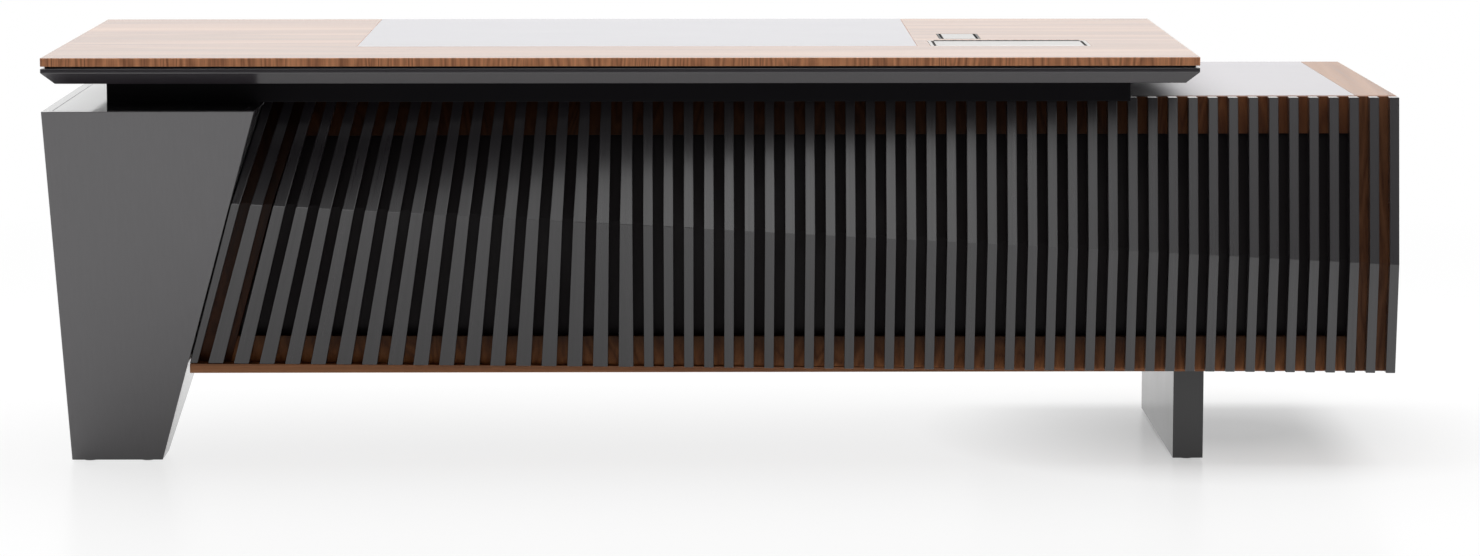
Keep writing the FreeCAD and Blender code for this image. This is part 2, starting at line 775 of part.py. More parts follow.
# hollow wall between the leg and the return
taper("wall_back_board", "carcass_low", "carcass_high",
      (inner_at("carcass_low") + " + leg_gap", "cab_west", "wall_rear - carcass_board", "wall_rear"),
      (inner_at("carcass_high") + " + leg_gap", "cab_west", "wall_rear - carcass_board", "wall_rear"))
taper("wall_cap_board", "carcass_high", "cabinet_height",
      (inner_at("carcass_high") + " + leg_gap", "cab_west", "deck_front", "wall_rear"),
      (inner_at("cabinet_height") + " + leg_gap", "cab_west", "deck_front", "wall_rear"))
wall_ribs = []
for number in range(3):
    wall_ribs.append(board("wall_rib_%s" % "abc"[number],
                           "west + leg_top_width + (%d) * (cab_west - west - leg_top_width) / 4"
                           % (number + 1),
                           "base_front", "carcass_low", "carcass_board",
                           "wall_rear - carcass_board - base_front", "carcass_high - carcass_low"))
grouped("wall_ribs", wall_ribs)

# return carcass
carcass_rise = "carcass_high - carcass_low"
door_floor_bore = rod("door_floor_bore", "z", "door_axis_x", "door_axis_y",
                      "carcass_low - door_pin_reach - pin_end_gap", "door_pin_radius + pin_fit",
                      "door_pin_reach + pin_end_gap")
floor_blank = board("floor_blank", "cab_west", "wall_rear", "base_low",
                    "cabinet_width", "cab_rear - wall_rear", "carcass_board")
cut("cabinet_floor", floor_blank, floor_bores + [door_floor_bore])
deck_blank = board("deck_blank", "cab_west", "deck_front", "carcass_high",
                   "cabinet_width", "cab_rear - deck_front", "carcass_board")
deck_recess = board("deck_recess", "cab_west", "deck_front", "cabinet_height - inlay_thickness",
                    "cabinet_width - inlay_border", "cab_rear - deck_front", "inlay_thickness")
door_deck_bore = rod("door_deck_bore", "z", "door_axis_x", "door_axis_y", "carcass_high",
                     "door_pin_radius + pin_fit", "door_pin_reach + pin_end_gap")
cut("cabinet_deck", deck_blank, [deck_recess, door_deck_bore])
board("deck_inlay", "cab_west", "deck_front", "cabinet_height - inlay_thickness",
      "cabinet_width - inlay_border - inlay_gap", "cab_rear - deck_front", "inlay_thickness")
board("cabinet_left_side", "cab_west", "base_front", "carcass_low",
      "carcass_board", "cab_rear - base_front", carcass_rise)


def peg(name, x, y, toward):
    """A shelf peg seated in a wall bore, and that bore."""
    start = x + (" - peg_seat" if toward == "east" else " + peg_seat - peg_length")
    pin = rod(name, "x", start, y, "shelf_low - peg_radius", "peg_radius", "peg_length")
    bore_start = x + (" - peg_seat" if toward == "east" else "")
    bore = rod(name + "_bore", "x", bore_start, y, "shelf_low - peg_radius",
               "peg_radius + peg_fit", "peg_seat")
    return pin, bore


peg_places = ["shelf_front + peg_inset", "shelf_rear - peg_inset"]
pegs = []
divider_bores = []
side_bores = []
for number, y in enumerate(peg_places):
    pin, bore = peg("peg_west_%s" % "ab"[number], "cupboard_west", y, "east")
    pegs.append(pin)
    divider_bores.append(bore)
    pin, bore = peg("peg_east_%s" % "ab"[number], "cupboard_east", y, "west")
    pegs.append(pin)
    side_bores.append(bore)
grouped("shelf_pegs", pegs)
divider_blank = board("divider_blank", "divider_west", "back_rear", "carcass_low",
                      "carcass_board", "cab_rear - back_rear", carcass_rise)
cut("cabinet_divider", divider_blank, divider_bores)
doc.recompute()

behind_screen = panel_back + value("panel_board") + value("board_fit")
side_x = value("cupboard_east")
side_outline = []
for height in (value("carcass_high"), crease_at(side_x), value("carcass_low")):
    side_outline.append(Vector(side_x, screen_face(side_x, height) + behind_screen, height))
side_outline.append(Vector(side_x, value("cab_rear"), value("carcass_low")))
side_outline.append(Vector(side_x, value("cab_rear"), value("carcass_high")))
side_face = Part.Face(Part.makePolygon(side_outline + side_outline[:1]))
right_side_blank = shaped("right_side_blank", side_face.extrude(Vector(value("carcass_board"), 0, 0)))
cut("cabinet_right_side", right_side_blank, side_bores)
board("cabinet_back", "bay_west", "base_front", "carcass_low",
      "2 * bay_width + carcass_board", "back_board", carcass_rise)
board("cabinet_shelf", "cupboard_west + shelf_fit", "shelf_front", "shelf_low",
      "bay_width - 2 * shelf_fit", "shelf_rear - shelf_front", "carcass_board")

# cupboard door on two upright pins
door_plate = board("door_plate", "cupboard_west + front_gap", "fronts_front", "door_low",
                   "door_axis_x - cupboard_west - front_gap", "front_board", "door_high - door_low")
door_edge = rod("door_edge", "z", "door_axis_x", "door_axis_y", "door_low",
                "front_board / 2", "door_high - door_low")
door_bores = [
    rod("door_bore_low", "z", "door_axis_x", "door_axis_y", "door_low",
        "door_pin_radius + pin_fit", "door_pin_reach + pin_end_gap"),
    rod("door_bore_high", "z", "door_axis_x", "door_axis_y", "door_high - door_pin_reach - pin_end_gap",
        "door_pin_radius + pin_fit", "door_pin_reach + pin_end_gap"),
]
door_grip = board("door_grip", "cupboard_west", "cab_rear - grip_depth",
                  "(door_low + door_high - grip_length) / 2",
                  "front_gap + grip_height", "grip_depth", "grip_length")
cut("cupboard_door", fused("door_blank", [door_plate, door_edge]), door_bores + [door_grip])
pin_length = "2 * door_pin_reach + front_gap"
grouped("door_pins", [
    rod("door_pin_low", "z", "door_axis_x", "door_axis_y", "carcass_low - door_pin_reach",
        "door_pin_radius", pin_length),
    rod("door_pin_high", "z", "door_axis_x", "door_axis_y", "door_high - door_pin_reach",
        "door_pin_radius", pin_length),
])

# three drawers on channel runners
channels = []
for name, low, height in (("top", "top_front_low", "top_front_height"),
                          ("middle", "middle_front_low", "middle_front_height"),
                          ("low", "low_front_low", "low_front_height")):
    drawer = name + "_drawer"
    front_blank = board(drawer + "_front_blank", "bay_west + front_gap", "fronts_front", low,
                        "bay_width - 2 * front_gap", "front_board", height)
    grip = board(drawer + "_grip", "bay_west + (bay_width - grip_length) / 2", "cab_rear - grip_depth",
                 "%s + %s - grip_height" % (low, height), "grip_length", "grip_depth", "grip_height")
    cut(drawer + "_front", front_blank, [grip])
    box_low = low + " + drawer_lift"
    box_rise = height + " - drawer_lift - drawer_drop"
    outside = board(drawer + "_outside", "drawer_west", "drawer_front", box_low,
                    "drawer_width", "drawer_length", box_rise)
    inside = board(drawer + "_inside", "drawer_west + drawer_wall", "drawer_front + drawer_wall",
                   box_low + " + drawer_floor", "drawer_width - 2 * drawer_wall",
                   "drawer_length - 2 * drawer_wall", box_rise)
    cut(drawer + "_box", outside, [inside])
    bar_low = box_low + " + bar_rise"
    bars = []
    for side, bar_west, channel_west, slot_west in (
            ("west", "drawer_west - bar_thickness", "bay_west", "bay_west + channel_wall"),
            ("east", "drawer_west + drawer_width", "bay_west + bay_width - channel_depth",
             "bay_west + bay_width - channel_depth")):
        bars.append(board("%s_bar_%s" % (drawer, side), bar_west, "drawer_front", bar_low,
                          "bar_thickness", "drawer_length - bar_end", "bar_height"))
        channel = board("%s_channel_%s_blank" % (drawer, side), channel_west, "drawer_front",
                        bar_low + " - running_gap - channel_wall",
                        "channel_depth", "drawer_length - bar_end", "channel_height")
        slot = board("%s_slot_%s" % (drawer, side), slot_west, "drawer_front", bar_low + " - running_gap",
                     "channel_depth - channel_wall", "drawer_length - bar_end", "slot_height")
        channels.append(cut("%s_channel_%s" % (drawer, side), channel, [slot]))
    grouped(drawer + "_bars", bars)
grouped("drawer_channels", channels)

NODES = [
    "worktop_slab", "writing_pad", "reveal_board", "bevelled_subtop",
    "riser_front_tube", "riser_rear_tube", "riser_cross_tubes", "leg_spacer",
    "cable_rim", "cable_tray", "socket_strip", "cable_flap", "cable_flap_pins",
    "charging_well", "charging_module", "charging_lid", "charging_lid_pins",
    "leg_top_board", "leg_foot_board", "leg_front_board", "leg_back_board",
    "leg_outer_board", "leg_inner_board", "leg_glides",
    "blade_leg", "blade_glides", "blade_bolts",
    "screen_top_rail", "screen_base_rail", "screen_left_stile", "screen_right_stile",
    "screen_panel", "straight_slats", "fan_slats",
    "base_board", "wall_back_board", "wall_cap_board", "wall_ribs",
    "cabinet_floor", "cabinet_deck", "deck_inlay", "cabinet_left_side", "cabinet_right_side",
    "cabinet_divider", "cabinet_back", "cabinet_shelf", "shelf_pegs",
    "cupboard_door", "door_pins", "drawer_channels",
    "top_drawer_front", "top_drawer_box", "top_drawer_bars",
    "middle_drawer_front", "middle_drawer_box", "middle_drawer_bars",
    "low_drawer_front", "low_drawer_box", "low_drawer_bars",
]
doc.recompute()

for item in doc.Objects:
    if "Invalid" in item.State or "Error" in item.State:
        raise ValueError("%s did not recompute: %s" % (item.Label, item.State))

os.makedirs("parts", exist_ok=True)
for node in NODES:
    item = doc.getObject(node)
    item.Label = node
    if item.Shape.isNull() or not item.Shape.isValid():
        raise ValueError("%s has no sound shape" % node)
    item.Shape.exportStep(os.path.join("parts", node + ".step"))
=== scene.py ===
"""Finishes, studio and camera for the executive desk with the folded slatted front.

Lengths are in metres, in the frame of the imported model: X along the desk, Y from the visitor's
side to the user's side, Z up, and the floor at zero.
"""

import json
import math

import bmesh
import bpy
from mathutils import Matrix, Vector


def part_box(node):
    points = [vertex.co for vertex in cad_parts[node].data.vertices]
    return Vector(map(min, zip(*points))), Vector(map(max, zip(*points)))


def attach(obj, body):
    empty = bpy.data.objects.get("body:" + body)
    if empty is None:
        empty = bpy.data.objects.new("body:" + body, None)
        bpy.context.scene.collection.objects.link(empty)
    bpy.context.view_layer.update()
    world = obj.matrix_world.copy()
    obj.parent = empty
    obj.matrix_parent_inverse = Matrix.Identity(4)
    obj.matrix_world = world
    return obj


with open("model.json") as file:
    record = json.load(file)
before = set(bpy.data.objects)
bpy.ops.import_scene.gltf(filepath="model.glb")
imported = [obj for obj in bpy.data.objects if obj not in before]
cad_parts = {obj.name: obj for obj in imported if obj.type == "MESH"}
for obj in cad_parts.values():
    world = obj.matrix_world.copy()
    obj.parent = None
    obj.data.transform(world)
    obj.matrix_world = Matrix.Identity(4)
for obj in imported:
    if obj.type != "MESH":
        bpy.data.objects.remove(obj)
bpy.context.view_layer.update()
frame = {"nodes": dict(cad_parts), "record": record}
pieces = frame["nodes"]

# finishes, as linear colours
WALNUT_PALE = (0.47, 0.275, 0.165, 1)
WALNUT_MID = (0.33, 0.175, 0.098, 1)
WALNUT_DARK = (0.165, 0.08, 0.043, 1)
UNSTAINED = (1, 1, 1)
LACQUER_GREY = (0.042, 0.036, 0.043)
# lit and shaded copies of one lacquer: painted light on the leg, painted shade on slats and blade
LIT_LEG_GREY = (0.155, 0.148, 0.156)
SHADED_SLAT_GREY = (0.020, 0.017, 0.0205)
SHADED_BLADE_GREY = (0.010, 0.009, 0.0105)
CARCASS_GREY = (0.11, 0.11, 0.115)
PAD_GREY = (0.44, 0.435, 0.45)
INLAY_GREY = (0.44, 0.43, 0.445)
STAIN_BLACK = (0.018, 0.017, 0.018)
STEEL_BLACK = (0.007, 0.006, 0.008)
PANEL_CHARCOAL = (0.018, 0.013, 0.0145)
ALUMINIUM = (0.46, 0.45, 0.44)
# near-white metal along edges: partly wear, partly a painted edge highlight
RUBBED_AND_HIGHLIT_METAL = (0.95, 0.95, 0.96)
ZINC = (0.58, 0.58, 0.60)
PLASTIC_BLACK = (0.022, 0.022, 0.023)
NYLON_GREY = (0.42, 0.42, 0.42)
MELAMINE_GREY = (0.36, 0.36, 0.365)
WHITE = (1, 1, 1, 1)

# how the finishes take the light
WALNUT_IOR = 1.48
LACQUER_IOR = 1.65
LEATHER_IOR = 1.46
PLAIN_GLOSS = 0.5
DULL_GLOSS = 0.2
BLACK_GLOSS = 0.12
VARNISH_HAZE = 0.2
LACQUER_HAZE = 0.18
LEG_HAZE = 0.06
BLADE_HAZE = 0.03

# how close the walnut's bands lie: on broad boards, on upright strips and on the worktop
BROAD_FIGURE = 3.2
CLOSE_FIGURE = 14.0
TOP_FIGURE = 2.0
TOP_EDGE_FIGURE = 26.0

# the fan of slats: the height of its ends, and where its slats start and how they step there
FAN_TOP_HEIGHT, FAN_BASE_HEIGHT = 0.674, 0.186
FAN_TOP_FIRST, FAN_BASE_FIRST = -0.1792, -0.1835
FAN_TOP_PITCH, FAN_BASE_PITCH = 0.0376, 0.0463


# node helpers
def put(tree, kind, settings=None, sockets=None):
    """Add a node; sockets maps input names or numbers to plain values or other nodes' outputs."""
    node = tree.nodes.new(kind)
    for name, setting in (settings or {}).items():
        setattr(node, name, setting)
    for name, source in (sockets or {}).items():
        if isinstance(source, bpy.types.NodeSocket):
            tree.links.new(source, node.inputs[name])
        else:
            node.inputs[name].default_value = source
    return node


def sums(tree, operation, first, second, clamp=False):
    node = put(tree, "ShaderNodeMath", {"operation": operation, "use_clamp": clamp},
               {0: first, 1: second})
    return node.outputs[0]


def spread(tree, source, span, to=(0.0, 1.0)):
    """Stretch a value from one range to another, and hold it at the ends."""
    node = put(tree, "ShaderNodeMapRange", None,
               {"Value": source, "From Min": span[0], "From Max": span[1],
                "To Min": to[0], "To Max": to[1]})
    return node.outputs[0]


def stretched(tree, coordinates, scale):
    node = put(tree, "ShaderNodeMapping", None, {"Vector": coordinates, "Scale": scale})
    return node.outputs[0]


def noise(tree, coordinates, scale=1.0, detail=4.0, roughness=0.55, distortion=0.0):
    node = put(tree, "ShaderNodeTexNoise", None,
               {"Vector": coordinates, "Scale": scale, "Detail": detail, "Roughness": roughness,
                "Distortion": distortion})
    return node.outputs["Fac"]


def blend(tree, share, first, second, mode="MIX"):
    node = put(tree, "ShaderNodeMix", {"data_type": "RGBA", "blend_type": mode},
               {0: share, 6: first, 7: second})
    return node.outputs[2]


def ramp(tree, share, stops):
    node = put(tree, "ShaderNodeValToRGB", None, {"Fac": share})
    bar = node.color_ramp.elements
    bar[0].position, bar[0].color = stops[0]
    bar[1].position, bar[1].color = stops[-1]
    for position, colour in stops[1:-1]:
        bar.new(position).color = colour
    return node.outputs["Color"]


def split(tree, vector):
    return put(tree, "ShaderNodeSeparateXYZ", None, {0: vector}).outputs


def group(name, inputs, outputs):
    """A new shader node group with its named sockets, and its input and output nodes."""
    tree = bpy.data.node_groups.new(name, "ShaderNodeTree")
    kinds = {"vector": "NodeSocketVector", "value": "NodeSocketFloat", "colour": "NodeSocketColor"}
    for label, kind in inputs:
        tree.interface.new_socket(label, in_out="INPUT", socket_type=kinds[kind])
    for label, kind in outputs:
        tree.interface.new_socket(label, in_out="OUTPUT", socket_type=kinds[kind])
    given = tree.nodes.new("NodeGroupInput").outputs
    made = tree.nodes.new("NodeGroupOutput").inputs
    return tree, given, made


def placed(tree, made, sockets):
    node = put(tree, "ShaderNodeGroup", {"node_tree": made}, sockets)
    return node.outputs


# shared effects
SURFACE = [("Shade", "value"), ("Roughness", "value"), ("Height", "value")]


def walnut_figure():
    """Walnut veneer: broad bands, fibre and short pores, with the grain along the first axis."""
    tree, given, made = group("walnut_figure", [("Along Grain", "vector"), ("Figure", "value")],
                              [("Color", "colour"), ("Roughness", "value"), ("Height", "value")])
    along = given["Along Grain"]
    broad = noise(tree, stretched(tree, along, (0.55, 7.0, 7.0)),
                  detail=3.0, roughness=0.5, distortion=0.7)
    bands = put(tree, "ShaderNodeMath", {"operation": "PINGPONG"},
                {0: sums(tree, "MULTIPLY", broad, given["Figure"]), 1: 0.5}).outputs[0]
    fibre = noise(tree, stretched(tree, along, (2.4, 190.0, 190.0)), detail=5.0, roughness=0.7)
    tone = sums(tree, "ADD", sums(tree, "MULTIPLY", bands, 0.75),
                sums(tree, "MULTIPLY", fibre, 0.85))
    colour = ramp(tree, spread(tree, tone, (0.32, 0.95)),
                  [(0.0, WALNUT_DARK), (0.45, WALNUT_MID), (1.0, WALNUT_PALE)])
    pores = noise(tree, stretched(tree, along, (28.0, 900.0, 900.0)), detail=2.0, roughness=0.5)
    pore_mask = spread(tree, pores, (0.62, 0.72))
    with_pores = blend(tree, sums(tree, "MULTIPLY", pore_mask, 0.45), colour, WALNUT_DARK)
    height = sums(tree, "SUBTRACT", sums(tree, "MULTIPLY", fibre, 0.5), pore_mask)
    tree.links.new(with_pores, made["Color"])
    tree.links.new(spread(tree, fibre, (0.3, 0.7), (0.40, 0.52)), made["Roughness"])
    tree.links.new(height, made["Height"])
    return tree


def lacquer_film():
    """Satin lacquer over grained board: upright lines, a fine texture and soft handling marks."""
    tree, given, made = group("lacquer_film", [("Place", "vector"), ("Streak", "value")], SURFACE)
    place = given["Place"]
    lines = noise(tree, stretched(tree, place, (210.0, 60.0, 1.4)), roughness=0.65)
    marks = noise(tree, place, 3.2, detail=3.0, roughness=0.5, distortion=0.4)
    line_height = sums(tree, "MULTIPLY", sums(tree, "SUBTRACT", lines, 0.5), given["Streak"])
    mark_shade = sums(tree, "MULTIPLY", sums(tree, "SUBTRACT", marks, 0.5), 0.12)
    shade = sums(tree, "ADD", sums(tree, "ADD", line_height, mark_shade), 1.0)
    texture = noise(tree, place, 900.0, detail=2.0, roughness=0.5)
    roughness = sums(tree, "SUBTRACT", spread(tree, marks, (0.1, 0.9), (0.26, 0.36)),
                     sums(tree, "MULTIPLY", line_height, 0.16))
    height = sums(tree, "ADD", sums(tree, "MULTIPLY", texture, 0.15), line_height)
    tree.links.new(shade, made["Shade"])
    tree.links.new(roughness, made["Roughness"])
    tree.links.new(height, made["Height"])
    return tree


def fan_lines():
    """The fan's place with its slats drawn upright, so that their grain runs along each slat."""
    tree, given, made = group("fan_lines", [("Place", "vector")], [("Place", "vector")])
    parts = split(tree, given["Place"])
    down = spread(tree, parts["Z"], (FAN_TOP_HEIGHT, FAN_BASE_HEIGHT))
    first = spread(tree, down, (0.0, 1.0), (FAN_TOP_FIRST, FAN_BASE_FIRST))
    pitch = spread(tree, down, (0.0, 1.0), (FAN_TOP_PITCH, FAN_BASE_PITCH))
    steps = sums(tree, "DIVIDE", sums(tree, "SUBTRACT", parts["X"], first), pitch)
    upright = sums(tree, "MULTIPLY", steps, FAN_TOP_PITCH)
    moved = put(tree, "ShaderNodeCombineXYZ", None,
                {"X": upright, "Y": parts["Y"], "Z": parts["Z"]})
    tree.links.new(moved.outputs[0], made["Place"])
    return tree


def brushed_lines():
    """Fine brushed lines along the first axis."""
    tree, given, made = group("brushed_lines", [("Along Lines", "vector")], SURFACE)
    along = given["Along Lines"]
    lines = noise(tree, stretched(tree, along, (6.0, 1600.0, 1600.0)), detail=3.0, roughness=0.6)
    broad = noise(tree, along, 9.0, detail=2.0, roughness=0.5)
    tree.links.new(spread(tree, lines, (0.3, 0.7), (0.86, 1.06)), made["Shade"])
    tree.links.new(sums(tree, "ADD", spread(tree, lines, (0.3, 0.7), (0.32, 0.44)),
                        sums(tree, "MULTIPLY", broad, 0.06)), made["Roughness"])
    tree.links.new(lines, made["Height"])
    return tree


def hide_grain():
    """Leather: rounded cells with creases between them, and slow changes of tone."""
    tree, given, made = group("hide_grain", [("Place", "vector")], SURFACE)
    place = given["Place"]
    bent = noise(tree, place, 120.0, detail=2.0, roughness=0.5)
    shift = put(tree, "ShaderNodeCombineXYZ", None, {"X": sums(tree, "MULTIPLY", bent, 0.002)})
    moved = put(tree, "ShaderNodeVectorMath", {"operation": "ADD"},
                {0: place, 1: shift.outputs[0]}).outputs[0]
    cells = put(tree, "ShaderNodeTexVoronoi", {"feature": "SMOOTH_F1"},
                {"Vector": moved, "Scale": 620.0, "Smoothness": 0.6}).outputs["Distance"]
    tone = noise(tree, place, 5.0)
    tree.links.new(sums(tree, "ADD", spread(tree, tone, (0.3, 0.7), (0.965, 1.015)),
                        sums(tree, "MULTIPLY", cells, -0.05)), made["Shade"])
    tree.links.new(spread(tree, tone, (0.3, 0.7), (0.44, 0.56)), made["Roughness"])
    tree.links.new(sums(tree, "SUBTRACT", 1.0, cells), made["Height"])
    return tree


def fine_texture():
    """The even texture of moulded plastic, powder coat, melamine or stained board."""
    tree, given, made = group("fine_texture", [("Place", "vector"), ("Scale", "value")], SURFACE)
    pips = noise(tree, given["Place"], given["Scale"], detail=3.0, roughness=0.6)
    tone = noise(tree, given["Place"], 6.0, detail=3.0, roughness=0.5)
    tree.links.new(sums(tree, "ADD", spread(tree, pips, (0.3, 0.7), (-0.07, 0.07)),
                        spread(tree, tone, (0.3, 0.7), (0.94, 1.05))), made["Shade"])
    tree.links.new(spread(tree, tone, (0.3, 0.7), (0.42, 0.58)), made["Roughness"])
    tree.links.new(pips, made["Height"])
    return tree


def edge_wear_and_highlight():
    """A mask along outside edges for wear and a painted edge highlight, broken up as rubbing does.
    """
    tree, given, made = group("edge_wear_and_highlight", [("Place", "vector"), ("Reach", "value")],
                              [("Mask", "value")])
    softened = put(tree, "ShaderNodeBevel", {"samples": 4},
                   {"Radius": given["Reach"]}).outputs["Normal"]
    plain = put(tree, "ShaderNodeNewGeometry").outputs["True Normal"]
    facing = put(tree, "ShaderNodeVectorMath", {"operation": "DOT_PRODUCT"},
                 {0: softened, 1: plain})
    edge = spread(tree, facing.outputs["Value"], (0.98, 0.80))
    patches = spread(tree, noise(tree, given["Place"], 35.0, roughness=0.6),
                     (0.35, 0.65), (0.25, 1.0))
    tree.links.new(sums(tree, "MULTIPLY", edge, patches, clamp=True), made["Mask"])
    return tree


WALNUT_FIGURE = walnut_figure()
LACQUER_FILM = lacquer_film()
FAN_LINES = fan_lines()
BRUSHED_LINES = brushed_lines()
HIDE_GRAIN = hide_grain()
FINE_TEXTURE = fine_texture()
EDGE_WEAR_AND_HIGHLIGHT = edge_wear_and_highlight()


# materials
def blank(name):
    """A new material with a Principled shader, and the place of each point on the desk."""
    material = bpy.data.materials.new(name)
    material.use_nodes = True
    tree = material.node_tree
    shader = tree.nodes["Principled BSDF"]
    place = put(tree, "ShaderNodeTexCoord").outputs["Object"]
    return material, tree, shader, place


def turned(tree, place, grain):
    """The place with the grain's axis as its first coordinate."""
    if grain == "x":
        return place
    parts = split(tree, place)
    order = {"y": ("Y", "X", "Z"), "z": ("Z", "X", "Y")}[grain]
    return put(tree, "ShaderNodeCombineXYZ", None,
               dict(zip("XYZ", (parts[axis] for axis in order)))).outputs[0]


def connect(tree, shader, colour, roughness, height, strength, depth):
    """Link a surface's colour, roughness and relief to its shader."""
    bump = put(tree, "ShaderNodeBump", None,
               {"Strength": strength, "Distance": depth, "Height": height}).outputs["Normal"]
    tree.links.new(colour, shader.inputs["Base Color"])
    tree.links.new(roughness, shader.inputs["Roughness"])
    tree.links.new(bump, shader.inputs["Normal"])


def fix(shader, constants):
    """Set a shader's plain values."""
    for name, constant in constants.items():
        shader.inputs[name].default_value = constant


def shaded(tree, colour, shade):
    """A plain colour made lighter and darker by a value near one."""
    grey = put(tree, "ShaderNodeCombineColor", None, {0: shade, 1: shade, 2: shade}).outputs[0]
    return blend(tree, 1.0, (*colour, 1), grey, "MULTIPLY")


def worn_and_highlit(tree, place, colour, reach, worn_and_highlight_colour, amount):
    """A colour lightened towards another within reach of outside edges: wear and painted
    highlight.
    """
    mask = placed(tree, EDGE_WEAR_AND_HIGHLIGHT, {"Place": place, "Reach": reach})["Mask"]
    return blend(tree, sums(tree, "MULTIPLY", mask, amount), colour, (*worn_and_highlight_colour, 1))


def walnut(name, grain, edge_grain=None, figure=BROAD_FIGURE, coat=0.0, stain_and_painted_light=UNSTAINED,
           edge_stain=UNSTAINED, edge_figure=CLOSE_FIGURE, gloss=PLAIN_GLOSS, painted_shade=None):
    """Walnut under oil or, with a coat, under varnish.

    edge_grain turns the grain on upright faces, which then have an edge_stain and figure of their
    own.
    The stains given for the rails and the left stile are partly painted light and shade.
    The last argument darkens the walnut along an axis as painted shade: its letter, where it
    starts and ends, the share left.
    """
    material, tree, shader, place = blank(name)
    along = turned(tree, place, grain)
    tint_and_painted_shade = (*stain_and_painted_light, 1)
    # painted shade: the walnut grows darker along the given axis
    if painted_shade:
        axis, start, end, share = painted_shade
        reached = split(tree, place)[axis]
        tint_and_painted_shade = shaded(tree, stain_and_painted_light, spread(tree, reached, (start, end), (1.0, share)))
    if edge_grain:
        up = split(tree, put(tree, "ShaderNodeNewGeometry").outputs["True Normal"])["Z"]
        level = sums(tree, "GREATER_THAN", sums(tree, "ABSOLUTE", up, 0.0), 0.5)
        along = put(tree, "ShaderNodeMix", {"data_type": "VECTOR"},
                    {0: level, 4: turned(tree, place, edge_grain), 5: along}).outputs[1]
        tint_and_painted_shade = blend(tree, level, (*edge_stain, 1), tint_and_painted_shade)
        figure = spread(tree, level, (0.0, 1.0), (edge_figure, figure))
    wood = placed(tree, WALNUT_FIGURE, {"Along Grain": along, "Figure": figure})
    stained_and_shaded = blend(tree, 1.0, wood["Color"], tint_and_painted_shade, "MULTIPLY")
    rubbed_and_highlit = tuple(tone * part for tone, part in zip(stain_and_painted_light, WALNUT_PALE))
    colour = worn_and_highlit(tree, place, stained_and_shaded, reach=0.0015, worn_and_highlight_colour=rubbed_and_highlit, amount=0.35)
    connect(tree, shader, colour, wood["Roughness"], wood["Height"], strength=0.25, depth=0.0004)
    fix(shader, {"IOR": WALNUT_IOR, "Specular IOR Level": gloss, "Coat Weight": coat,
                 "Coat Roughness": VARNISH_HAZE})
    return material


def upright_walnut(name, stain_and_painted_light, painted_shade=None):
    """Oiled walnut with close, upright grain, stained, and darkened along an axis as painted
    shade.
    """
    return walnut(name, "z", figure=CLOSE_FIGURE, stain_and_painted_light=stain_and_painted_light, gloss=DULL_GLOSS, painted_shade=painted_shade)


def lacquer(name, colour, streak=0.15, relief=0.10, stretch=1.0, fanned=False, coat=1.0,
            haze=LACQUER_HAZE):
    """Satin lacquer under a clear coat, which haze blurs.

    streak and relief are the strength of its lines in tone and in height. A stretch below one
    draws the lines out along Y, and fanned turns them with the fan's slats.
    """
    material, tree, shader, place = blank(name)
    if fanned:
        place = placed(tree, FAN_LINES, {"Place": place})["Place"]
    film = placed(tree, LACQUER_FILM,
                  {"Place": stretched(tree, place, (1.0, stretch, 1.0)), "Streak": streak})
    rubbed_and_highlit = tuple(1.5 * part for part in colour)
    painted = worn_and_highlit(tree, place, shaded(tree, colour, film["Shade"]), reach=0.0012,
                   worn_and_highlight_colour=rubbed_and_highlit, amount=0.5)
    connect(tree, shader, painted, film["Roughness"], film["Height"], relief, depth=0.0003)
    fix(shader, {"IOR": LACQUER_IOR, "Coat Weight": coat, "Coat Roughness": haze})
    return material


def leather(name, colour):
    material, tree, shader, place = blank(name)
    hide = placed(tree, HIDE_GRAIN, {"Place": place})
    connect(tree, shader, shaded(tree, colour, hide["Shade"]), hide["Roughness"], hide["Height"],
            strength=0.35, depth=0.0003)
    fix(shader, {"IOR": LEATHER_IOR})
    return material


def brushed_metal(name, colour, lines):
    """Metal brushed along the axis that lines names."""
    material, tree, shader, place = blank(name)
    brushed = placed(tree, BRUSHED_LINES, {"Along Lines": turned(tree, place, lines)})
    metal = worn_and_highlit(tree, place, shaded(tree, colour, brushed["Shade"]), reach=0.0006,
                 worn_and_highlight_colour=RUBBED_AND_HIGHLIT_METAL, amount=0.6)
    connect(tree, shader, metal, brushed["Roughness"], brushed["Height"],
            strength=0.12, depth=0.0001)
    fix(shader, {"Metallic": 1.0})
    return material


def textured(name, colour, scale, relief=0.2, gloss=PLAIN_GLOSS):
    """A plain finish with a fine, even texture."""
    material, tree, shader, place = blank(name)
    texture = placed(tree, FINE_TEXTURE, {"Place": place, "Scale": scale})
    rubbed_and_highlit = tuple(min(1.0, 1.8 * part + 0.01) for part in colour)
    coated = worn_and_highlit(tree, place, shaded(tree, colour, texture["Shade"]), reach=0.001,
                  worn_and_highlight_colour=rubbed_and_highlit, amount=0.4)
    connect(tree, shader, coated, texture["Roughness"], texture["Height"], relief, depth=0.0002)
    fix(shader, {"Specular IOR Level": gloss})
    return material


SLAT_LINES = {"streak": 1.5, "relief": 0.5, "stretch": 0.06}
# painted shade on the screen's walnut: base rail and left stile darker towards the top, top rail
# darker under the worktop as a painted shadow
STILE_SHADE_END = 0.5
TOP_RAIL_SHADOW_EDGE = 0.15
base_rail_low, base_rail_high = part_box("screen_base_rail")
worktop_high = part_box("worktop_slab")[1]
base_rail_painted_shade = ("Z", base_rail_low[2], base_rail_high[2], 0.24)
top_rail_painted_shadow = ("X", worktop_high[0], worktop_high[0] - TOP_RAIL_SHADOW_EDGE, 0.45)
stile_painted_shade = ("Z", base_rail_high[2], STILE_SHADE_END, 0.35)
